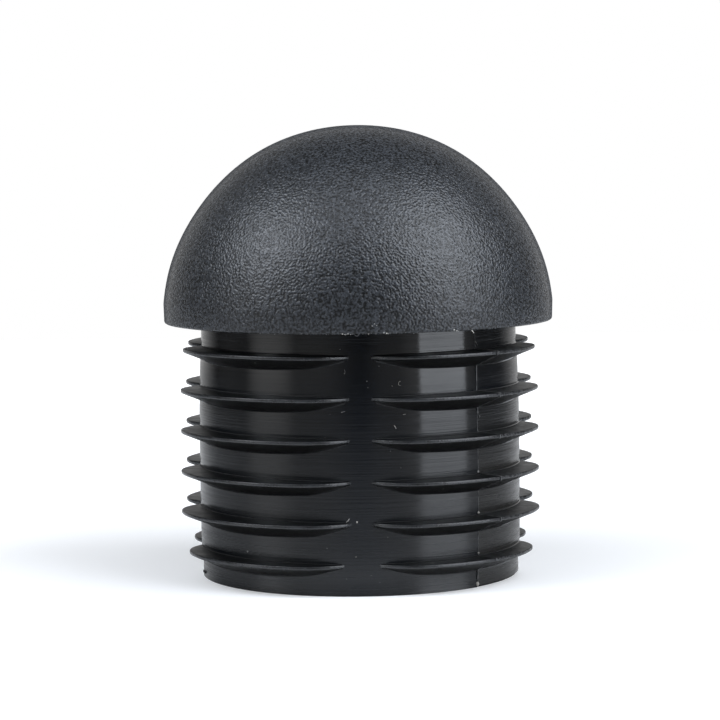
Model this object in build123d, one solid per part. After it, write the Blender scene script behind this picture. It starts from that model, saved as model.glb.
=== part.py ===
from build123d import *
import math
import os

# Sizes that drive the part, in millimetres and degrees. The part stands on its open end,
# with the axis of the barrel on Z and the ground at zero.

# Head: the dome that stays outside and finishes flush with the tube.
head_d = 50.0           # outside of the tube, and widest part of the head
head_h = 25.05          # from the shoulder to the top of the dome
skirt_h = 2.5           # height of the head's foot, up to its widest part
rim_d = 49.85           # width at the shoulder, drawn in by the mould's draft
rim_break = 0.25        # bevel on the head's lower outer edge
dome_wall = 3.0         # plastic between the dome and the hollow

# Barrel: the part that goes into the tube.
barrel_l = 32.55        # from the shoulder to the open end
neck_d = 40.5           # outside under the shoulder, drawn in where the thick head shrank
neck_l = 2.8            # length of that straight neck
barrel_d = 41.3         # outside of the straight part between the fins
waist_drop = 9.0        # from the shoulder down to where the straight part starts
lead_l = 3.2            # length of the lead-in at the open end
foot_d = 41.1           # outside at the open end
foot_break = 0.1        # bevel on the open end's outer edge
mouth_d = 36.7          # inside at the open end
core_d = 36.0           # inside where the core starts to close in
core_top_d = 18.0       # width of the core's flat end, under the dome

# Fins: thin crescents in tiers, flat on top and sloped below, that bend as they go in.
tiers = 6
fins_per_tier = 4
first_fin_drop = 2.85   # from the shoulder to the top of the first tier
tier_pitch = 5.14       # from one tier to the next
fin_reach = 3.72        # how far the middle of a fin stands out of the barrel
fin_edge_t = 0.45       # thickness of a fin at its outer edge
fin_slope = 22.3        # slope of a fin's underside, which makes its root thicker
fin_lean = 4.5          # from the axis out to the centre of a fin's main curve
fin_end_r = 7.0         # radius that rounds a fin's outline into the barrel
fin_gap = 2.7           # open way between the ends of neighbouring fins
lead_reach = 2.94       # the same reach for the last tier, which leads the way in
lead_gap = 5.0          # and its open way
fin_bury = 0.8          # how far a fin's root runs on inside the wall

# Values worked out from the sizes above.
head_r = head_d / 2
rim_r = rim_d / 2
skirt_z = barrel_l + skirt_h
dome_z = barrel_l + head_h
ball_r = (head_r**2 + (dome_z - skirt_z) ** 2) / (2 * (dome_z - skirt_z))
ball_z = dome_z - ball_r
mouth_r = mouth_d / 2
core_r = core_d / 2
core_top_r = core_top_d / 2
hollow_r = ball_r - dome_wall
core_z = ball_z + math.sqrt(hollow_r**2 - core_r**2)
core_top_z = ball_z + math.sqrt(hollow_r**2 - core_top_r**2)
side = [
    (foot_d / 2, 0),
    (barrel_d / 2, lead_l),
    (barrel_d / 2, barrel_l - waist_drop),
    (neck_d / 2, barrel_l - neck_l),
    (neck_d / 2, barrel_l),
]
sector = 2 * math.pi / fins_per_tier


def polar(radius, angle, z=0):
    """Point at this distance from the axis, turned this far from +X."""
    return Vector(radius * math.cos(angle), radius * math.sin(angle), z)


def barrel_r(z):
    """Radius of the barrel's side at a height: it runs straight between its stated widths."""
    for (low_r, low_z), (high_r, high_z) in zip(side, side[1:]):
        if z <= high_z:
            return low_r + (high_r - low_r) * (z - low_z) / (high_z - low_z)


def near(face, x, z):
    """Corner of a profile that lies closest to a point of the XZ plane."""
    return sorted(face.vertices(), key=lambda v: math.hypot(v.X - x, v.Z - z))[0]


def outer_body():
    """Barrel and dome, turned round the axis in one go, with no hollow yet."""
    crown_turn = (math.atan2(skirt_z - ball_z, head_r) + math.pi / 2) / 2
    crown = (ball_r * math.cos(crown_turn), 0, ball_z + ball_r * math.sin(crown_turn))
    steps = [(0, 0)] + side + [(rim_r, barrel_l), (head_r, skirt_z)]
    wall = Polyline(*[(radius, 0, z) for radius, z in steps])
    dome = ThreePointArc(wall @ 1, crown, (0, 0, dome_z))
    profile = make_face([wall, dome, Line(dome @ 1, wall @ 0)])
    profile = chamfer(near(profile, rim_r, barrel_l), rim_break)
    profile = chamfer(near(profile, foot_d / 2, 0), foot_break)
    return revolve(profile, Axis.Z)


def hollow():
    """Space that the core left: a slightly tapered bore that closes in under the dome."""
    steps = [(0, 0), (mouth_r, 0), (core_r, core_z), (core_top_r, core_top_z), (0, core_top_z)]
    profile = make_face(Polyline(*[(radius, 0, z) for radius, z in steps], close=True))
    return revolve(profile, Axis.Z)


def mirrored(point):
    """The same point on the other half of its sector."""
    turn = math.atan2(point.Y, point.X)
    return polar(math.hypot(point.X, point.Y), sector - turn, point.Z)


def fin(top_z, reach, gap):
    """One crescent: its section is swept along its outer edge, inside one sector.

    The edge is a main curve about the hub, which lies off the axis towards the middle of
    the fin, and a smaller curve at each end that brings it back to the barrel.
    """
    root_r = barrel_r(top_z)
    main_r = root_r + reach - fin_lean
    run = main_r - fin_end_r
    hub = polar(fin_lean, sector / 2, top_z)
    tip = polar(root_r, math.asin(gap / 2 / root_r), top_z)
    far = (tip - hub).length
    turn = math.atan2(tip.Y - hub.Y, tip.X - hub.X)
    turn += math.acos((run**2 + far**2 - fin_end_r**2) / (2 * run * far))
    centre = hub + polar(run, turn)
    out = (tip - centre).normalized()
    bend = centre + (out + polar(1, turn)).normalized() * fin_end_r
    join = hub + polar(main_r, turn)
    path = Wire([
        ThreePointArc(tip, bend, join),
        ThreePointArc(join, hub + polar(main_r, sector / 2), mirrored(join)),
        ThreePointArc(mirrored(join), mirrored(bend), mirrored(tip)),
    ])

    depth = reach + fin_bury
    root_drop = fin_edge_t + depth * math.tan(math.radians(fin_slope))
    corners = [(0, 0), (0, -fin_edge_t), (-depth, -root_drop), (-depth, 0)]
    across = Plane(tip, x_dir=out, z_dir=out.cross(Vector(0, 0, 1)))
    section = across * make_face(Polyline(*corners, close=True))
    return sweep(section, path)


def fins():
    """All tiers, each with its crescents spread evenly round the barrel."""
    crescents = []
    for tier in range(tiers):
        top_z = barrel_l - first_fin_drop - tier * tier_pitch
        if tier == tiers - 1:
            crescent = fin(top_z, lead_reach, lead_gap)
        else:
            crescent = fin(top_z, fin_reach, fin_gap)
        for place in range(fins_per_tier):
            crescents.append(Rot(0, 0, math.degrees(place * sector)) * crescent)
    return crescents


end_cap = (outer_body() + fins()) - hollow()

os.makedirs("parts", exist_ok=True)
export_step(end_cap, "parts/domed_insert.step")
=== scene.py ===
import math
import random
from collections import namedtuple

import bmesh
import bpy
from mathutils import Matrix, Vector


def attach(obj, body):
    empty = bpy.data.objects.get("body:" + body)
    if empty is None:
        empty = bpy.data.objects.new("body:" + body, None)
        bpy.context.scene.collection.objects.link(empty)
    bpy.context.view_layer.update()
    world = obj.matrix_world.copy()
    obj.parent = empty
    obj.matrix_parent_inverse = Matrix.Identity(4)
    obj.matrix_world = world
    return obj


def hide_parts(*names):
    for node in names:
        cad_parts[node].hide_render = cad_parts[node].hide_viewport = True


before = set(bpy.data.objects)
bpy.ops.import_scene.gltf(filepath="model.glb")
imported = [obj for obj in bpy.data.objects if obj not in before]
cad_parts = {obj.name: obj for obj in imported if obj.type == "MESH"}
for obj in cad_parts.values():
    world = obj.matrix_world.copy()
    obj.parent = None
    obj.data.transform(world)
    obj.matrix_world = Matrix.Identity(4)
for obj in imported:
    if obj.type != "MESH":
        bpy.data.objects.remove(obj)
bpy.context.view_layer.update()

# ---- Head and barrel -----------------------------------------------------------------
# The cap is one shot of black plastic. Its outside is a turned form: a ball-shaped head
# that stays out of the tube, and a barrel that goes in. The thick head shrank as it
# cooled and drew the barrel in under the shoulder.

# Sizes are in mm, and meshes in metres. In metres too are the two small distances within
# which a point lies on a plane, or two points are the same.
mm = 0.001
touching = 1e-6
same_point = 1e-7

shoulder_z = 32.55
rim_r = 24.92
rim_round = 0.3
ball_z = shoulder_z + 0.15
foot_chamfer = 0.20
turn_steps = 288
dome_steps = 44

# Degrees over the middle of the ball, and how far the dome's skin is from there.
dome_side = [(5.4, 25.10), (14, 25.10), (37, 24.95), (60, 25.01), (90, 24.88)]

# Radius and height, from the foot up to the shoulder.
barrel_side = [
    (20.39, 0.0),
    (20.36, 1.6),
    (20.44, 2.4),
    (20.54, 3.3),
    (20.59, 4.75),
    (20.61, 6.55),
    (20.64, 10.75),
    (20.64, 15.65),
    (20.60, 21.65),
    (20.50, 25.55),
    (20.43, 27.35),
    (20.28, 29.55),
    (20.24, 30.95),
    (20.24, shoulder_z),
]

# The mould parts on an upright plane through the axis, and its rear half lies this way.
rear_turn = math.radians(44.8)
rear_way = Vector((math.cos(rear_turn), math.sin(rear_turn), 0))


def barrel_r(height):
    """Radius of the barrel's side at a height."""
    for (low_r, low_z), (high_r, high_z) in zip(barrel_side, barrel_side[1:]):
        if height <= high_z:
            return low_r + (high_r - low_r) * (height - low_z) / (high_z - low_z)
    return barrel_side[-1][0]


def dome_r(turn):
    """How far the dome's skin is from the middle of its ball, this many degrees over it."""
    for (low, low_r), (high, high_r) in zip(dome_side, dome_side[1:]):
        if turn <= high:
            share = (turn - low) / (high - low)
            eased = share * share * (3 - 2 * share)
            return low_r + (high_r - low_r) * eased


def profile_face(corners, rounds=()):
    """A flat profile in the XZ plane, with some of its corners rounded."""
    bm = bmesh.new()
    face = bm.faces.new([bm.verts.new((x * mm, 0, z * mm)) for x, z in corners])
    points = list(face.verts)
    for place, radius in rounds:
        bmesh.ops.bevel(
            bm, geom=[points[place]], offset=radius * mm, offset_type="OFFSET",
            affect="VERTICES", segments=4, profile=0.5, material=-1,
        )
    return bm


def turn_on_axis(bm, steps):
    """Turns a profile round Z into a closed shell and shuts its poles."""
    bmesh.ops.delete(bm, geom=bm.faces[:], context="FACES_ONLY")
    on_axis = [e for e in bm.edges if all(abs(v.co.x) < touching for v in e.verts)]
    bmesh.ops.delete(bm, geom=on_axis, context="EDGES")
    bmesh.ops.spin(
        bm, geom=bm.verts[:] + bm.edges[:], cent=(0, 0, 0), axis=(0, 0, 1),
        angle=2 * math.pi, steps=steps, use_merge=True,
    )
    bmesh.ops.remove_doubles(bm, verts=bm.verts[:], dist=same_point)
    bmesh.ops.recalc_face_normals(bm, faces=bm.faces[:])


def solid(name, bm, *finishes):
    """Puts a finished shell into an object."""
    mesh = bpy.data.meshes.new(name)
    bm.to_mesh(mesh)
    bm.free()
    piece = bpy.data.objects.new(name, mesh)
    bpy.context.scene.collection.objects.link(piece)
    for finish in finishes:
        mesh.materials.append(finish)
    return piece


skirt_turn, crown_turn = dome_side[0][0], dome_side[-1][0]
dome_corners = []
for step in range(dome_steps):
    turn = skirt_turn + (crown_turn - skirt_turn) * step / dome_steps
    reach, rise = math.cos(math.radians(turn)), math.sin(math.radians(turn))
    dome_corners.append((dome_r(turn) * reach, ball_z + dome_r(turn) * rise))
crown = (0, ball_z + dome_side[-1][1])
rim_corner = len(barrel_side) + 1
body = profile_face(
    [(0, 0)] + barrel_side + [(rim_r, shoulder_z)] + dome_corners + [crown],
    [(rim_corner, rim_round)],
)
turn_on_axis(body, turn_steps)


def on_rear_rim(vert):
    """True on the foot's outer edge where the rear half of the mould shaped it."""
    on_rim = abs(vert.co.z) < touching and vert.co.length > barrel_r(0) * mm - touching
    return on_rim and vert.co.dot(rear_way) > 0


rear_rim = [e for e in body.edges if all(on_rear_rim(v) for v in e.verts)]
bmesh.ops.bevel(
    body, geom=rear_rim, offset=foot_chamfer * mm, offset_type="OFFSET",
    affect="EDGES", segments=1, profile=0.5, material=-1,
)
body.normal_update()


def object_place(tree):
    """Object coordinates."""
    return tree.nodes.new("ShaderNodeTexCoord").outputs["Object"]


def height_of(tree, place):
    """The Z part of a place or a direction."""
    parts = tree.nodes.new("ShaderNodeSeparateXYZ")
    tree.links.new(place, parts.inputs[0])
    return parts.outputs["Z"]


def measured(tree, operation, place, other=(0, 0, 0)):
    """The length of a vector, or its distance from another or its product with it."""
    node = tree.nodes.new("ShaderNodeVectorMath")
    node.operation = operation
    node.inputs[1].default_value = other
    tree.links.new(place, node.inputs[0])
    return node.outputs["Value"]


def reckoned(tree, operation, first, second):
    """The result of a sum on two values, either of which may be a socket."""
    node = tree.nodes.new("ShaderNodeMath")
    node.operation = operation
    for socket, value in zip(node.inputs, (first, second)):
        if isinstance(value, (int, float)):
            socket.default_value = value
        else:
            tree.links.new(value, socket)
    return node.outputs["Value"]


def ranged(tree, value, between, onto, curve="LINEAR"):
    """A value stretched from one range onto another and clamped there."""
    fit = tree.nodes.new("ShaderNodeMapRange")
    fit.interpolation_type = curve
    fit.inputs["From Min"].default_value, fit.inputs["From Max"].default_value = between
    fit.inputs["To Min"].default_value, fit.inputs["To Max"].default_value = onto
    tree.links.new(value, fit.inputs["Value"])
    return fit.outputs["Result"]


def stretched_noise(tree, per_metre, detail, roughness=0.5):
    """Noise with its own number of cells per metre along each axis."""
    fit = tree.nodes.new("ShaderNodeMapping")
    fit.inputs["Scale"].default_value = per_metre
    noise = tree.nodes.new("ShaderNodeTexNoise")
    noise.inputs["Scale"].default_value = 1.0
    noise.inputs["Detail"].default_value = detail
    noise.inputs["Roughness"].default_value = roughness
    tree.links.new(object_place(tree), fit.inputs["Vector"])
    tree.links.new(fit.outputs["Vector"], noise.inputs["Vector"])
    return noise.outputs["Fac"]


def blended(tree, factor, first, second):
    """A colour between two others, either of which may be a socket."""
    mix = tree.nodes.new("ShaderNodeMix")
    mix.data_type = "RGBA"
    tree.links.new(factor, mix.inputs["Factor"])
    for socket, colour in ((mix.inputs["A"], first), (mix.inputs["B"], second)):
        if isinstance(colour, tuple):
            socket.default_value = (*colour, 1)
        else:
            tree.links.new(colour, socket)
    return mix.outputs["Result"]


def bumped(tree, height, distance):
    """A normal raised by a height."""
    bump = tree.nodes.new("ShaderNodeBump")
    bump.inputs["Distance"].default_value = distance
    tree.links.new(height, bump.inputs["Height"])
    return bump.outputs["Normal"]


def value_group(name, sockets_in, sockets_out):
    """An empty node group whose sockets are all plain numbers, and its two end nodes."""
    group = bpy.data.node_groups.new(name, "ShaderNodeTree")
    for label, value in sockets_in:
        socket = group.interface.new_socket(label, in_out="INPUT", socket_type="NodeSocketFloat")
        socket.default_value = value
    for label in sockets_out:
        group.interface.new_socket(label, in_out="OUTPUT", socket_type="NodeSocketFloat")
    return group, group.nodes.new("NodeGroupInput"), group.nodes.new("NodeGroupOutput")


def new_finish(name, ior):
    """A material, its node tree and its shader."""
    finish = bpy.data.materials.new(name)
    finish.use_nodes = True
    shader = finish.node_tree.nodes["Principled BSDF"]
    shader.inputs["IOR"].default_value = ior
    return finish, finish.node_tree, shader


# Dust: a round fleck in some of the cells of a loose grid.
flecks, fleck_in, fleck_out = value_group(
    "flecks", [("Per Metre", 500.0), ("Radius", 0.06), ("Share", 0.1)], ["Mask"],
)
cells = flecks.nodes.new("ShaderNodeTexVoronoi")
flecks.links.new(object_place(flecks), cells.inputs["Vector"])
flecks.links.new(fleck_in.outputs["Per Metre"], cells.inputs["Scale"])
chance = flecks.nodes.new("ShaderNodeSeparateColor")
flecks.links.new(cells.outputs["Color"], chance.inputs["Color"])
fleck_size = reckoned(flecks, "MULTIPLY", fleck_in.outputs["Radius"], chance.outputs["Green"])
inside = reckoned(flecks, "LESS_THAN", cells.outputs["Distance"], fleck_size)
chosen = reckoned(flecks, "LESS_THAN", chance.outputs["Red"], fleck_in.outputs["Share"])
flecks.links.new(reckoned(flecks, "MULTIPLY", inside, chosen), fleck_out.inputs["Mask"])
fleck_grey = (0.32, 0.32, 0.31)


def flecked(tree, colour, per_metre, radius, share):
    """A colour with a few pale flecks of dust on it."""
    scatter = tree.nodes.new("ShaderNodeGroup")
    scatter.node_tree = flecks
    scatter.inputs["Per Metre"].default_value = per_metre
    scatter.inputs["Radius"].default_value = radius
    scatter.inputs["Share"].default_value = share
    return blended(tree, scatter.outputs["Mask"], colour, fleck_grey)


# Which half of the mould shaped the surface: the two were polished apart.
half_blur = 2e-5
halves, _, halves_out = value_group("halves", [], ["Rear"])
across = measured(halves, "DOT_PRODUCT", object_place(halves), rear_way)
halves.links.new(ranged(halves, across, (-half_blur, half_blur), (0, 1)), halves_out.inputs["Rear"])


def rear_half(tree):
    """Mask that is 1 on what the rear half of the mould shaped."""
    side = tree.nodes.new("ShaderNodeGroup")
    side.node_tree = halves
    return side.outputs["Rear"]


# The head: a fine eroded grain, dark in its pits as painted shade and greyer on its peaks as painted
# glints.
painted_pit_shade, painted_peak_glint = (0.0006, 0.0008, 0.0012), (0.046, 0.050, 0.057)
grain_depth = 1.15e-4
head_grain, tree, shader = new_finish("head_grain", 1.5)
grain = stretched_noise(tree, (3600, 3600, 3600), detail=0.5)
clumps = stretched_noise(tree, (1500, 1500, 1500), detail=1.0)
fine_part = reckoned(tree, "MULTIPLY", grain, 0.85)
clump_part = reckoned(tree, "MULTIPLY", clumps, 0.15)
glint_share = ranged(tree, reckoned(tree, "ADD", fine_part, clump_part), (0.38, 0.64), (0, 1))
# Painted shade in the pits and painted glints on the peaks, following the bump.
grain_shade_and_glints = blended(tree, glint_share, painted_pit_shade, painted_peak_glint)
tree.links.new(flecked(tree, grain_shade_and_glints, per_metre=900, radius=0.08, share=0.02), shader.inputs["Base Color"])
facing = tree.nodes.new("ShaderNodeLayerWeight")
haze = ranged(tree, facing.outputs["Facing"], (0.80, 1.0), (0, 0.55))
worn = ranged(tree, grain, (0.35, 0.65), (0.38, 0.26))
tree.links.new(reckoned(tree, "ADD", worn, haze), shader.inputs["Roughness"])
tree.links.new(bumped(tree, grain, grain_depth), shader.inputs["Normal"])

# The barrel: gloss with level tool lines, coarser at the rear, and greyer low down at the rear as
# painted light.
gloss_black, gloss_blue = (0.0015, 0.0026, 0.0044), (0.003, 0.0042, 0.0064)
painted_light_grey = (0.0200, 0.0192, 0.0178)
line_depth, coarse_depth, swell_depth = 1.5e-5, 3e-5, 5e-6
barrel_gloss, tree, shader = new_finish("barrel_gloss", 1.55)
rear = rear_half(tree)
lines = stretched_noise(tree, (60, 60, 3300), detail=3.0, roughness=0.6)
brushed = stretched_noise(tree, (90, 90, 2600), detail=3.0, roughness=0.6)
swell = stretched_noise(tree, (160, 160, 260), detail=1.0)
height = height_of(tree, object_place(tree))
# Painted light: low down at the rear the colour turns greyer towards the foot.
painted_light_mask = reckoned(tree, "MULTIPLY", ranged(tree, height, (0.025, 0.015), (0, 1)), rear)
black = blended(tree, painted_light_mask, blended(tree, swell, gloss_black, gloss_blue), painted_light_grey)
tree.links.new(flecked(tree, black, per_metre=420, radius=0.07, share=0.05), shader.inputs["Base Color"])
front_rough = ranged(tree, lines, (0.3, 0.7), (0.07, 0.20))
rear_rough = ranged(tree, brushed, (0.3, 0.7), (0.10, 0.22))
more_rough = reckoned(tree, "MULTIPLY", reckoned(tree, "SUBTRACT", rear_rough, front_rough), rear)
rough = reckoned(tree, "ADD", front_rough, more_rough)
polish = ranged(tree, height, (0.008, 0.031), (1.7, 0.5))
tree.links.new(reckoned(tree, "MULTIPLY", rough, polish), shader.inputs["Roughness"])
fine = reckoned(tree, "MULTIPLY", lines, line_depth)
coarse = reckoned(tree, "MULTIPLY", brushed, reckoned(tree, "MULTIPLY", rear, coarse_depth))
waves = reckoned(tree, "MULTIPLY", swell, swell_depth)
relief = reckoned(tree, "ADD", reckoned(tree, "ADD", fine, coarse), waves)
tree.links.new(bumped(tree, relief, 1.0), shader.inputs["Normal"])

# The flat seat under the head, and the rear half's chamfer on the foot: dull black.
seat_satin, tree, shader = new_finish("seat_satin", 1.5)
shader.inputs["Specular IOR Level"].default_value = 0.2
rubbed = stretched_noise(tree, (500, 500, 500), detail=3.0)
dull_black = blended(tree, rubbed, (0.001, 0.0013, 0.0018), (0.003, 0.0035, 0.004))
tree.links.new(dull_black, shader.inputs["Base Color"])
tree.links.new(ranged(tree, rubbed, (0.3, 0.7), (0.6, 0.8)), shader.inputs["Roughness"])

finishes = []


def coat(faces, finish):
    """Gives faces of the cap a finish."""
    if finish not in finishes:
        finishes.append(finish)
    for face in faces:
        face.material_index = finishes.index(finish)


def level(face):
    """Height of a face's middle, in metres."""
    return face.calc_center_median().z


seat_z = shoulder_z * mm
tilted = 0.3
seat = [f for f in body.faces if abs(level(f) - seat_z) <= touching]
chamfer = [
    f for f in body.faces
    if touching < level(f) < foot_chamfer * mm and abs(f.normal.z) > tilted
]
coat([f for f in body.faces if level(f) > seat_z], head_grain)
coat([f for f in body.faces if level(f) < seat_z], barrel_gloss)
coat(seat + chamfer, seat_satin)
end_cap = solid("end_cap", body, *finishes)

# ---- Crescent fins -------------------------------------------------------------------
# Six tiers of four thin crescents, moulded with the barrel, bend as they go in and grip
# the tube. Each is flat on top, sloped below and runs out into the barrel at both ends.
# The last tier is smaller and leads the way in.

# The height of a fin's flat top, its reach from the axis, the radius of its end arcs,
# the open way to the next fin, and how far its ends hang down.
Tier = namedtuple("Tier", "flat_z reach_r end_r gap droop")
tiers = [
    Tier(29.705, 24.0, 7.0, 2.7, 0.18),
    Tier(24.57, 24.38, 7.0, 2.7, 0.09),
    Tier(19.43, 24.40, 7.0, 2.7, 0.04),
    Tier(14.26, 24.42, 7.0, 2.55, 0),
    Tier(9.15, 24.40, 6.5, 2.5, 0),
    Tier(4.01, 23.6, 7.0, 4.42, 0.04),
]

per_tier = 4
sector = 2 * math.pi / per_tier
edge_t = 0.44
edge_round = 0.15
fin_lean = 4.5
slope = math.radians(22.3)
fin_bury = 0.8
end_steps = 14
main_steps = 30
flat_enough = 0.5
pore_depth = 4e-5
rear_pore_depth = 10e-5


def fin_finish(name, front_tones, rear_tones, roughness, gloss):
    """A fin's finish: scuffed satin where the front half shaped it, paler and porous at the rear."""
    finish, tree, shader = new_finish(name, 1.5)
    shader.inputs["Specular IOR Level"].default_value = gloss
    rear = rear_half(tree)
    scuff = stretched_noise(tree, (450, 450, 900), detail=4.0, roughness=0.6)
    pores = stretched_noise(tree, (2600, 2600, 2600), detail=1.0)
    front_colour = blended(tree, ranged(tree, scuff, (0.35, 0.65), (0, 1)), *front_tones)
    rear_colour = blended(tree, ranged(tree, pores, (0.40, 0.62), (0, 1)), *rear_tones)
    both = blended(tree, rear, front_colour, rear_colour)
    dusty = flecked(tree, both, per_metre=700, radius=0.09, share=0.06)
    tree.links.new(dusty, shader.inputs["Base Color"])
    tree.links.new(ranged(tree, scuff, (0.3, 0.7), roughness), shader.inputs["Roughness"])
    deeper = reckoned(tree, "MULTIPLY", rear, rear_pore_depth - pore_depth)
    relief = reckoned(tree, "MULTIPLY", pores, reckoned(tree, "ADD", deeper, pore_depth))
    tree.links.new(bumped(tree, relief, 1.0), shader.inputs["Normal"])
    return finish


# One plastic in lit and shaded copies: the tops are painted darker as shade, the undersides darker as
# painted shade, and the edges paler as painted light.
fin_top = fin_finish(
    "fin_top",
    front_tones=((0.001, 0.0012, 0.0016), (0.0035, 0.004, 0.005)),
    rear_tones=((0.001, 0.0011, 0.0013), (0.030, 0.031, 0.032)),
    roughness=(0.32, 0.46),
    gloss=0.40,
)
fin_under = fin_finish(
    "fin_under",
    front_tones=((0.0034, 0.0033, 0.0032), (0.0075, 0.0073, 0.0070)),
    rear_tones=((0.005, 0.005, 0.005), (0.022, 0.022, 0.021)),
    roughness=(0.40, 0.55),
    gloss=0.30,
)
fin_edge = fin_finish(
    "fin_edge",
    front_tones=((0.008, 0.009, 0.010), (0.026, 0.028, 0.031)),
    rear_tones=((0.010, 0.011, 0.012), (0.034, 0.035, 0.036)),
    roughness=(0.15, 0.24),
    gloss=0.65,
)


def polar(radius, angle):
    """A point at this radius, turned this far from +X, in metres."""
    return Vector((radius * math.cos(angle), radius * math.sin(angle), 0)) * mm


def under_z(tier):
    """Height at which the middle of a fin's underside meets the barrel."""
    return tier.flat_z - edge_t - (tier.reach_r - barrel_r(tier.flat_z)) * math.tan(slope)


Arcs = namedtuple("Arcs", "tip hub first last turn")


def outline(tier):
    """A fin's tip, the middles of its main arc and two end arcs, and where the main arc starts."""
    root_r = barrel_r(tier.flat_z)
    tip = polar(root_r, math.asin(tier.gap / 2 / root_r))
    hub = polar(fin_lean, sector / 2)
    run = tier.reach_r - fin_lean - tier.end_r
    to_tip = (tip - hub) / mm
    far = to_tip.length
    bend = math.acos((run**2 + far**2 - tier.end_r**2) / (2 * run * far))
    turn = math.atan2(to_tip.y, to_tip.x) + bend
    return Arcs(tip, hub, hub + polar(run, turn), hub + polar(run, sector - turn), turn)


def lowered(bm, droop):
    """Lets a fin's two ends hang a little lower than its middle."""
    for vert in bm.verts:
        aside = abs(math.atan2(vert.co.y, vert.co.x) / (sector / 2) - 1)
        vert.co.z -= droop * mm * min(aside, 1) ** 4
    return bm


def crescent(tier):
    """One fin: its section is turned round its first end arc, its main arc and its last end arc."""
    arcs = outline(tier)
    out = arcs.tip - arcs.first
    heading = math.atan2(out.y, out.x)
    depth = tier.reach_r - barrel_r(tier.flat_z) + fin_bury
    drop = edge_t + depth * math.tan(slope)
    bm = profile_face(
        [(0, 0), (-depth, 0), (-depth, -drop), (0, -edge_t)],
        [(0, edge_round), (3, edge_round)],
    )
    place = Matrix.Translation(arcs.tip + Vector((0, 0, tier.flat_z * mm)))
    bmesh.ops.transform(bm, matrix=place @ Matrix.Rotation(heading, 4, "Z"), verts=bm.verts[:])
    front = bm.verts[:] + bm.edges[:] + bm.faces[:]
    for middle, angle, steps in (
        (arcs.first, arcs.turn - heading, end_steps),
        (arcs.hub, sector - 2 * arcs.turn, main_steps),
        (arcs.last, arcs.turn - heading, end_steps),
    ):
        front = bmesh.ops.spin(
            bm, geom=front, cent=middle, axis=(0, 0, 1), angle=angle, steps=steps,
        )["geom_last"]
    bmesh.ops.holes_fill(bm, edges=[e for e in bm.edges if e.is_boundary], sides=0)
    bmesh.ops.recalc_face_normals(bm, faces=bm.faces[:])
    return lowered(bm, tier.droop)


# Small hollow rounds fill the fins' roots. They are dull in front and glossy at the rear.
top_cove_w = 0.10
under_cove_w = 0.20
cove_bury = 0.12
cove_sink = 0.02
cove_inset = math.radians(1.6)
cove_steps = 4
cove_runs = 72
root_cove, tree, shader = new_finish("root_cove", 1.5)
# Painted shade and highlight: near black in front, where the root is in shade, and pale at the rear as a
# painted highlight.
root_shade_and_highlight = blended(tree, rear_half(tree), (0.002, 0.0025, 0.0032), (0.035, 0.036, 0.037))
tree.links.new(root_shade_and_highlight, shader.inputs["Base Color"])
tree.links.new(ranged(tree, rear_half(tree), (0, 1), (0.60, 0.14)), shader.inputs["Roughness"])


def cove(low, corner, high, inner):
    """Profile of a root's hollow round, from one surface to the other and back inside them."""
    bend = []
    for step in range(cove_steps + 1):
        t = step / cove_steps
        bend.append(tuple(
            (1 - t) ** 2 * a + 2 * t * (1 - t) * b + t**2 * c for a, b, c in zip(low, corner, high)
        ))
    return profile_face(bend + inner)


def spun_root(bm, root_r, gap):
    """Turns a root's profile along the barrel, from one end of a fin to the other."""
    start = math.asin(gap / 2 / root_r) + cove_inset
    place = Matrix.Rotation(start, 4, "Z") @ Matrix.Translation((root_r * mm, 0, 0))
    bmesh.ops.transform(bm, matrix=place, verts=bm.verts[:])
    bmesh.ops.spin(
        bm, geom=bm.verts[:] + bm.edges[:] + bm.faces[:], cent=(0, 0, 0), axis=(0, 0, 1),
        angle=sector - 2 * start, steps=cove_runs,
    )
    bmesh.ops.holes_fill(bm, edges=[e for e in bm.edges if e.is_boundary], sides=0)
    bmesh.ops.recalc_face_normals(bm, faces=bm.faces[:])


def top_root(tier):
    """The cove where a fin's flat top meets the barrel."""
    bm = cove(
        (-cove_sink, top_cove_w), (cove_sink, cove_sink), (top_cove_w, -cove_sink),
        [(top_cove_w, -cove_bury), (-cove_bury, -cove_bury), (-cove_bury, top_cove_w)],
    )
    spun_root(bm, barrel_r(tier.flat_z), tier.gap)
    bmesh.ops.translate(bm, vec=(0, 0, tier.flat_z * mm), verts=bm.verts[:])
    return lowered(bm, tier.droop)


def under_root(tier):
    """The cove where a fin's sloped underside meets the barrel. It dips as the fin grows wider."""
    arcs = outline(tier)
    high_x = under_cove_w * math.cos(slope)
    high_z = under_cove_w * math.sin(slope) + cove_sink
    bm = cove(
        (-cove_sink, -under_cove_w), (cove_sink, 0), (high_x, high_z),
        [(high_x, high_z + cove_bury), (-cove_bury, high_z + cove_bury), (-cove_bury, -under_cove_w)],
    )
    root_r = barrel_r(under_z(tier))
    spun_root(bm, root_r, tier.gap)
    for vert in bm.verts:
        spot = polar(root_r, math.atan2(vert.co.y, vert.co.x))
        heading = math.atan2(spot.y - arcs.hub.y, spot.x - arcs.hub.x)
        middle, radius = arcs.hub, tier.reach_r - fin_lean
        if heading < arcs.turn:
            middle, radius = arcs.first, tier.end_r
        elif heading > sector - arcs.turn:
            middle, radius = arcs.last, tier.end_r
        width = radius - (spot - middle).length / mm
        vert.co.z += (tier.flat_z - edge_t - width * math.tan(slope)) * mm
    return lowered(bm, tier.droop)


def joined(shells):
    """Several shells in one."""
    whole = bmesh.new()
    for bm in shells:
        part = bpy.data.meshes.new("part")
        bm.to_mesh(part)
        bm.free()
        whole.from_mesh(part)
        bpy.data.meshes.remove(part)
    return whole


def all_round(shape):
    """A shape in every tier, repeated round the barrel from its first quarter."""
    bm = joined([shape(tier) for tier in tiers])
    bmesh.ops.spin(
        bm, geom=bm.verts[:] + bm.edges[:] + bm.faces[:], cent=(0, 0, 0), axis=(0, 0, 1),
        angle=(per_tier - 1) * sector, steps=per_tier - 1, use_duplicate=True,
    )
    return bm


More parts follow.
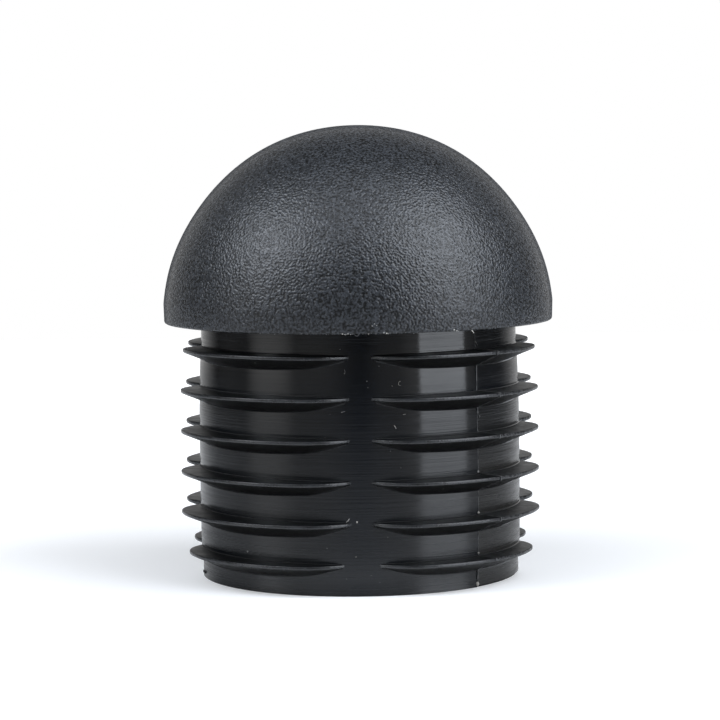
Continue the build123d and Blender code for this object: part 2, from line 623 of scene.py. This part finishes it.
def fuse(piece, bm, operation="UNION"):
    """Fuses a shell into the cap, or cuts it out."""
    tool = solid("tool", bm, *finishes)
    for finish in finishes[len(piece.data.materials):]:
        piece.data.materials.append(finish)
    cut = piece.modifiers.new("fuse", "BOOLEAN")
    cut.operation, cut.object, cut.solver = operation, tool, "MANIFOLD"
    bpy.context.view_layer.update()
    shown = piece.evaluated_get(bpy.context.evaluated_depsgraph_get())
    mesh = bpy.data.meshes.new_from_object(shown)
    piece.modifiers.remove(cut)
    old = piece.data
    piece.data = mesh
    bpy.data.meshes.remove(old)
    bpy.data.objects.remove(tool)


fins = all_round(crescent)
coat(fins.faces, fin_edge)
coat([f for f in fins.faces if f.normal.z > flat_enough], fin_top)
coat([f for f in fins.faces if f.normal.z < -flat_enough], fin_under)
fuse(end_cap, fins)
for root in (top_root, under_root):
    coves = all_round(root)
    coat(coves.faces, root_cove)
    fuse(end_cap, coves)

# ---- Parting flash -------------------------------------------------------------------
# Where the two halves of the mould met, a thin web of plastic was squeezed out and torn
# off. It leaves a pale hairline down the barrel and over every fin that it crosses, on
# two opposite sides.
flash_t = 0.07
flash_h = 0.03
fin_flash_h = (0.10, 0.07, 0.03, 0.09, 0.05, 0.03)
flash_bury = 0.4
flash_foot_z = 0.3
flash_turn = rear_turn - math.pi / 2
torn_depth = 3e-5

flash_torn, tree, shader = new_finish("flash_torn", 1.5)
ragged = stretched_noise(tree, (1500, 1500, 1500), detail=2.0)
torn_share = ranged(tree, ragged, (0.35, 0.65), (0, 1))
torn_grey = blended(tree, torn_share, (0.05, 0.051, 0.054), (0.18, 0.18, 0.18))
tree.links.new(torn_grey, shader.inputs["Base Color"])
tree.links.new(ranged(tree, ragged, (0.3, 0.7), (0.35, 0.6)), shader.inputs["Roughness"])
tree.links.new(bumped(tree, ragged, torn_depth), shader.inputs["Normal"])


def hairline(turn):
    """The web's remains in the parting plane, following the barrel and the fins."""
    foot_r, shoulder_r = barrel_r(flash_foot_z), barrel_r(shoulder_z)
    edge = [(foot_r - flash_bury, flash_foot_z), (foot_r + flash_h, flash_foot_z)]
    for tier, height in zip(reversed(tiers), reversed(fin_flash_h)):
        near_r, far_r = barrel_r(tier.flat_z) + flash_h, tier.reach_r + height
        edge += [
            (near_r, under_z(tier) - height),
            (far_r, tier.flat_z - edge_t - height),
            (far_r, tier.flat_z + height),
            (near_r, tier.flat_z + height),
        ]
    edge += [(shoulder_r + flash_h, shoulder_z), (shoulder_r - flash_bury, shoulder_z)]
    bm = profile_face(edge)
    bmesh.ops.translate(bm, vec=(0, -flash_t / 2 * mm, 0), verts=bm.verts[:])
    drawn = bmesh.ops.extrude_face_region(bm, geom=bm.faces[:])["geom"]
    moved = [v for v in drawn if isinstance(v, bmesh.types.BMVert)]
    bmesh.ops.translate(bm, vec=(0, flash_t * mm, 0), verts=moved)
    bmesh.ops.rotate(bm, matrix=Matrix.Rotation(turn, 3, "Z"), verts=bm.verts[:])
    bmesh.ops.recalc_face_normals(bm, faces=bm.faces[:])
    return bm


hairlines = joined([hairline(flash_turn), hairline(flash_turn + math.pi)])
coat(hairlines.faces, flash_torn)
fuse(end_cap, hairlines)

# ---- Burrs and lint ------------------------------------------------------------------
# The web of plastic left thicker runs and beads where it tore unevenly, and fine ones
# along the head's lower edge. A few fibres and grains of dust cling to the barrel and
# to that edge. Places are given by degrees from +X and by height.
flash_at = math.degrees(flash_turn)
bead_flat = 0.7
bead_lift = 0.1
fibre_sides = 6
fibre_steps = 10
fibre_lift = 0.03

lint_pale, tree, shader = new_finish("lint_pale", 1.45)
tuft = stretched_noise(tree, (2000, 2000, 2000), detail=1.0)
lint_share = ranged(tree, tuft, (0.35, 0.65), (0, 1))
lint_grey = blended(tree, lint_share, (0.30, 0.30, 0.30), (0.52, 0.49, 0.44))
tree.links.new(lint_grey, shader.inputs["Base Color"])
tree.links.new(ranged(tree, tuft, (0.3, 0.7), (0.6, 0.8)), shader.inputs["Roughness"])


def set_out(angle, out_r, height):
    """The place at this angle, radius and height."""
    out = Matrix.Translation((out_r * mm, 0, height * mm))
    return Matrix.Rotation(math.radians(angle), 4, "Z") @ out


def bead(angle, height, radius, out_r=None, stretch=1.0):
    """A grain half sunk in the barrel, or in whatever lies at another radius."""
    bm = bmesh.new()
    bmesh.ops.create_icosphere(bm, subdivisions=2, radius=radius * mm)
    bmesh.ops.scale(bm, vec=(bead_flat, 1, stretch), verts=bm.verts[:])
    place = set_out(angle, (out_r or barrel_r(height)) + bead_lift * radius, height)
    bmesh.ops.transform(bm, matrix=place, verts=bm.verts[:])
    return bm


def rim_bead(angle, turn, radius):
    """A grain on the rounded lower edge of the head, this many degrees round from its flat."""
    turn = math.radians(turn)
    height = shoulder_z + rim_round - rim_round * math.cos(turn)
    out_r = rim_r - rim_round + rim_round * math.sin(turn)
    return bead(angle, height, radius, out_r)


def fibre(angle, height, lean, bend_r, sweep, thick, lift=fibre_lift, out_r=None):
    """A fibre on the barrel or at another radius: a fine bent rod that leans from upright."""
    bm = bmesh.new()
    bmesh.ops.create_circle(bm, cap_ends=True, segments=fibre_sides, radius=thick / 2 * mm)
    bmesh.ops.spin(
        bm, geom=bm.verts[:] + bm.edges[:] + bm.faces[:], cent=(0, -bend_r * mm, 0), axis=(1, 0, 0),
        angle=math.radians(sweep), steps=fibre_steps,
    )
    bmesh.ops.recalc_face_normals(bm, faces=bm.faces[:])
    leaning = Matrix.Rotation(math.radians(lean), 4, "X")
    place = set_out(angle, (out_r or barrel_r(height)) + lift, height)
    bmesh.ops.transform(bm, matrix=place @ leaning, verts=bm.verts[:])
    return bm


def web_run(low_z, high_z, width, depth):
    """A run of web that tore off higher and wider than the rest."""
    bm = bmesh.new()
    bmesh.ops.create_cube(bm, size=1)
    middle_z = (low_z + high_z) / 2
    bmesh.ops.scale(bm, vec=(2 * depth * mm, width * mm, (high_z - low_z) * mm), verts=bm.verts[:])
    bmesh.ops.translate(bm, vec=(barrel_r(middle_z) * mm, 0, middle_z * mm), verts=bm.verts[:])
    bmesh.ops.rotate(bm, matrix=Matrix.Rotation(flash_turn, 3, "Z"), verts=bm.verts[:])
    return bm


burrs = [
    web_run(24.5, 27.8, width=0.13, depth=0.07),
    web_run(21.8, 22.7, width=0.20, depth=0.10),
    bead(flash_at + 0.9, 21.4, 0.16),
]

# Fine beads follow one another along the head's lower edge, each a little out of place.
rim_beads = 66
rim_from = -119
rim_pitch = 0.85
rim_stray = 0.22
rim_turns = (5, 55)
rim_sizes = (0.035, 0.08)
rng = random.Random(12)
for step in range(rim_beads):
    angle = rim_from + rim_pitch * step + rng.uniform(-rim_stray, rim_stray)
    burrs.append(rim_bead(angle, rng.uniform(*rim_turns), rng.uniform(*rim_sizes)))

# One burr hangs from that edge as a loop, and the foot has a double one at the left.
burrs.append(fibre(-91.5, shoulder_z + 0.06, 180, 0.27, 178, 0.06, lift=0, out_r=24.76))
foot_pip = [
    bead(-169.9, 0.72, 0.17, out_r=20.50, stretch=1.2),
    bead(-168.5, 0.60, 0.15, out_r=20.42),
]

# Angle, degrees round the head's lower edge, and radius.
rim_grains = (
    (-94.9, 40, 0.09), (-94.1, 20, 0.11), (-93.3, 45, 0.09), (-92.6, 25, 0.08),
    (-87.6, 30, 0.07), (-85.6, 30, 0.06), (-83.4, 60, 0.10), (-82.6, 40, 0.11),
    (-82.0, 20, 0.07), (-62.7, 70, 0.12), (-61.8, 45, 0.10), (-61.1, 20, 0.07),
)
# Angle, height, radius and distance from the axis.
head_grains = (
    (-86.6, 33.55, 0.06, 24.96), (-86.0, 33.78, 0.05, 24.97), (-85.4, 33.60, 0.05, 24.96),
)
# Angle, height and radius.
barrel_grains = (
    (-96.8, 30.4, 0.03), (-87.7, 26.5, 0.045), (-87.4, 25.7, 0.035), (-79.1, 25.85, 0.045),
    (-83.5, 28.3, 0.035), (-100.4, 22.5, 0.03), (-102.2, 19.6, 0.035), (-80.0, 17.9, 0.045),
    (-76.4, 15.8, 0.035), (-102.0, 6.0, 0.04), (-81.2, 7.3, 0.035), (-92.1, 4.95, 0.04),
    (-87.0, 2.6, 0.03), (-95.5, 2.2, 0.03), (-84.0, 1.7, 0.03),
)
# Height, radius and stretch of the fluff caught on the flash.
flash_fluff = ((14.50, 0.15, 1.0), (9.40, 0.18, 0.8), (4.32, 0.15, 0.8), (0.42, 0.25, 1.1))
# Angle, height, lean, bend radius, sweep and thickness.
barrel_fibres = (
    (-43.9, 30.2, 32, 3.5, 12, 0.06),
    (-76.1, 26.35, 80, 0.24, 200, 0.035),
    (-95.35, 27.42, -31, 0.5, 62, 0.03),
    (-95.3, 22.83, 100, 2.0, 14, 0.05),
    (-74.4, 22.36, 95, 2.0, 12, 0.05),
    (-77.95, 20.6, 15, 1.0, 28, 0.08),
    (-95.2, 9.25, -48, 2.0, 16, 0.11),
)
lint = [rim_bead(*grain) for grain in rim_grains] + [bead(*grain) for grain in head_grains]
for height, radius, stretch in flash_fluff:
    lint.append(bead(flash_at, height, radius, stretch=stretch))
lint.append(fibre(-56.8, shoulder_z + 0.1, 215, 3.0, 10, 0.14, lift=0, out_r=24.80))
lint += [fibre(*strand) for strand in barrel_fibres]
lint.append(bead(-91.65, 9.25, 0.09, stretch=1.4))
lint += [bead(*grain) for grain in barrel_grains]
for grains, finish in ((burrs, flash_torn), (lint, lint_pale), (foot_pip, fin_under)):
    shell = joined(grains)
    coat(shell.faces, finish)
    fuse(end_cap, shell)

# ---- Hollow --------------------------------------------------------------------------
# The core pin left a slightly tapered bore that closes in under the head, so that the
# walls stay even. It is plain inside, with faint draw marks down its length.
mouth_r = 18.35
core_r = 18.0
core_top_r = 9.0
hollow_r = 22.1
mouth_over = 1.0
core_round = 1.5
core_steps = 144
draw_depth = 3e-6
core_z = ball_z + math.sqrt(hollow_r**2 - core_r**2)
core_top_z = ball_z + math.sqrt(hollow_r**2 - core_top_r**2)

bore_plain, tree, shader = new_finish("bore_plain", 1.5)
draw = stretched_noise(tree, (1100, 1100, 25), detail=2.0)
bore_black = blended(tree, draw, (0.007, 0.0075, 0.0085), (0.012, 0.0125, 0.0135))
dusty = flecked(tree, bore_black, per_metre=500, radius=0.08, share=0.05)
tree.links.new(dusty, shader.inputs["Base Color"])
tree.links.new(ranged(tree, draw, (0.3, 0.7), (0.32, 0.45)), shader.inputs["Roughness"])
tree.links.new(bumped(tree, draw, draw_depth), shader.inputs["Normal"])

core = profile_face(
    [
        (0, -mouth_over), (mouth_r, -mouth_over), (mouth_r, 0),
        (core_r, core_z), (core_top_r, core_top_z), (0, core_top_z),
    ],
    [(4, core_round), (3, core_round)],
)
turn_on_axis(core, core_steps)
coat(core.faces, bore_plain)
fuse(end_cap, core, "DIFFERENCE")

# ---- Finished moulding ---------------------------------------------------------------
# The cap comes out of the mould as one skin. What the cuts left double is welded, and
# the skin is smooth but for its real corners and the lines where a cove starts.
weld = 2e-7
crease = math.radians(28)
skin = bmesh.new()
skin.from_mesh(end_cap.data)
bmesh.ops.remove_doubles(skin, verts=skin.verts[:], dist=weld)
bmesh.ops.dissolve_degenerate(skin, edges=skin.edges[:], dist=weld)
for face in skin.faces:
    face.smooth = True
for edge in skin.edges:
    in_cove = [finishes[face.material_index] is root_cove for face in edge.link_faces]
    edge.smooth = edge.calc_face_angle(0) < crease and in_cove[0] == in_cove[-1]
skin.to_mesh(end_cap.data)
skin.free()

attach(end_cap, "root")
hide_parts("domed_insert")

# ---- Table ---------------------------------------------------------------------------
# The cap stands on a sheet of glossy white plastic. The lens sees it white, with the
# cap's shadow; in the cap's gloss it greys away from a spot behind the cap, a painted
# pool of light, and is painted black towards its front edge. It ends short of the wall.
table_half = 0.4
back_spot = (0.0, 0.10, 0.0)


def lens_sees(tree, reflected, seen):
    """A shader for what the lens sees straight, and another for lights and reflections."""
    path = tree.nodes.new("ShaderNodeLightPath")
    pick = tree.nodes.new("ShaderNodeMixShader")
    tree.links.new(path.outputs["Is Camera Ray"], pick.inputs[0])
    tree.links.new(reflected.outputs[0], pick.inputs[1])
    tree.links.new(seen.outputs[0], pick.inputs[2])
    return pick.outputs[0]


table_white, tree, sheet = new_finish("table_white", 1.5)
from_back = measured(tree, "DISTANCE", object_place(tree), back_spot)
# Painted pool of light: the sheet's colour greys away from the spot, and turns black further out.
painted_light_falloff = ranged(tree, from_back, (0.08, 0.26), (0.90, 0.38))
painted_black_edge = ranged(tree, from_back, (0.435, 0.50), (1, 0))
tree.links.new(reckoned(tree, "MULTIPLY", painted_light_falloff, painted_black_edge), sheet.inputs["Base Color"])
sheet.inputs["Roughness"].default_value = 0.08
paint = tree.nodes.new("ShaderNodeBsdfDiffuse")
paint.inputs["Color"].default_value = (0.8, 0.8, 0.8, 1)
glow = tree.nodes.new("ShaderNodeEmission")
from_cap = measured(tree, "LENGTH", object_place(tree))
tree.links.new(ranged(tree, from_cap, (0.03, 0.25), (0.25, 0.90)), glow.inputs["Strength"])
lit = tree.nodes.new("ShaderNodeAddShader")
tree.links.new(paint.outputs[0], lit.inputs[0])
tree.links.new(glow.outputs[0], lit.inputs[1])
tree.links.new(lens_sees(tree, sheet, lit), tree.nodes["Material Output"].inputs["Surface"])
table = bmesh.new()
bmesh.ops.create_grid(table, x_segments=1, y_segments=1, size=table_half)
floor = solid("floor", table, table_white)

# ---- Room ----------------------------------------------------------------------------
# A white wall behind the table and a dark room round the rest, with a faint band all
# round at the level of the table and dim patches of light low on the walls. The lens
# itself sees plain white.


def bearing(azimuth, elevation):
    """Unit vector from the cap, by degrees round from the front and up from the table."""
    a, e = math.radians(azimuth), math.radians(elevation)
    return Vector((math.sin(a) * math.cos(e), -math.cos(a) * math.cos(e), math.sin(e)))


def lobe(tree, towards, nearness, strength):
    """Brightness that changes smoothly as a direction nears the given one."""
    away = tree.nodes.new("ShaderNodeTexCoord").outputs["Generated"]
    along = measured(tree, "DOT_PRODUCT", away, towards)
    return ranged(tree, along, nearness, strength, "SMOOTHSTEP")


room = bpy.data.worlds.new("room")
bpy.context.scene.world = room
room.use_nodes = True
tree = room.node_tree
tree.nodes.clear()
rear_wall = lobe(tree, (0, 1, 0), (0.50, 0.95), (0.03, 0.78))
dim_overhead = lobe(tree, (0, 0, 1), (0.10, 0.60), (1.0, 0.48))
band_rise = 0.02
away = tree.nodes.new("ShaderNodeTexCoord").outputs["Generated"]
off_band = reckoned(tree, "SUBTRACT", height_of(tree, away), band_rise)
band = ranged(tree, reckoned(tree, "ABSOLUTE", off_band, 0), (0.03, 0.075), (0.13, 0))
total = reckoned(tree, "ADD", reckoned(tree, "MULTIPLY", rear_wall, dim_overhead), band)
for towards, nearness, peak in (
    (bearing(-68, 5), (0.92, 1.0), 0.75),
    (bearing(-92, 3), (0.82, 1.0), 0.12),
    (bearing(-45, 5), (0.70, 1.0), 0.3),
    (bearing(30, 5), (0.88, 1.0), 0.22),
    (bearing(62, 5), (0.80, 0.97), 0.4),
):
    total = reckoned(tree, "ADD", total, lobe(tree, towards, nearness, (0, peak)))
walls = tree.nodes.new("ShaderNodeBackground")
tree.links.new(total, walls.inputs["Strength"])
backdrop = tree.nodes.new("ShaderNodeBackground")
backdrop.inputs["Color"].default_value = (1, 1, 1, 1)
out = tree.nodes.new("ShaderNodeOutputWorld")
tree.links.new(lens_sees(tree, walls, backdrop), out.inputs["Surface"])

# ---- Soft boxes ----------------------------------------------------------------------
# A large box high on the right with a card low under it, a box on the left in three
# parts that widen upwards, and one overhead. All are a little bluish, as daylight is.
daylight = (0.945, 1.0, 1.08)
aim_z = 0.03


def soft_box(name, azimuth, elevation, distance, width, height, radiance):
    """An area lamp aimed at the cap. Radiance 1 is as bright as a white wall."""
    lamp = bpy.data.lights.new(name, "AREA")
    lamp.shape, lamp.size, lamp.size_y = "RECTANGLE", width, height
    lamp.color = daylight
    lamp.energy = radiance * math.pi * width * height
    holder = bpy.data.objects.new(name, lamp)
    towards = bearing(azimuth, elevation)
    holder.location = Vector((0, 0, aim_z)) + towards * distance
    holder.rotation_mode = "QUATERNION"
    holder.rotation_quaternion = towards.to_track_quat("Z", "Y")
    bpy.context.scene.collection.objects.link(holder)


soft_box("right_box", 64, 43, 0.42, 0.40, 0.28, 4.5)
soft_box("right_card", 61, 8, 0.42, 0.284, 0.18, 2.5)
for elevation, width, height in ((32, 0.12, 0.36), (42, 0.26, 0.22), (44, 0.42, 0.18)):
    soft_box("left_box", -69, elevation, 0.42, width, height, 2.15)
soft_box("top_box", 0, 72, 0.60, 0.58, 0.50, 1.35)

# ---- Camera --------------------------------------------------------------------------
# A long lens at the height of the head's top, tipped down a little. The cap stands
# turned by half a degree to it.
cap_turn = math.radians(0.48)
pitch = math.radians(4.836)
roll = math.radians(0.669)
lens_px = 2747.7
frame_px = 720
sensor_mm = 36
near_clip = 0.01
eye = Vector((0.178, -353.2, shoulder_z + 24.70)) * mm
right = Vector((1, 0, 0))
up = Vector((0, math.sin(pitch), math.cos(pitch)))
ahead = Vector((0, math.cos(pitch), -math.sin(pitch)))
across = right * math.cos(roll) - up * math.sin(roll)
above = right * math.sin(roll) + up * math.cos(roll)
aim = Matrix((across, above, -ahead)).transposed().to_4x4()
camera = bpy.data.cameras.new("camera")
camera.sensor_width = sensor_mm
camera.lens = sensor_mm * lens_px / frame_px
camera.clip_start = near_clip
viewer = bpy.data.objects.new("camera", camera)
viewer.matrix_world = Matrix.Rotation(-cap_turn, 4, "Z") @ Matrix.Translation(eye) @ aim
bpy.context.scene.collection.objects.link(viewer)
bpy.context.scene.camera = viewer
bpy.context.scene.view_settings.view_transform = "Standard"
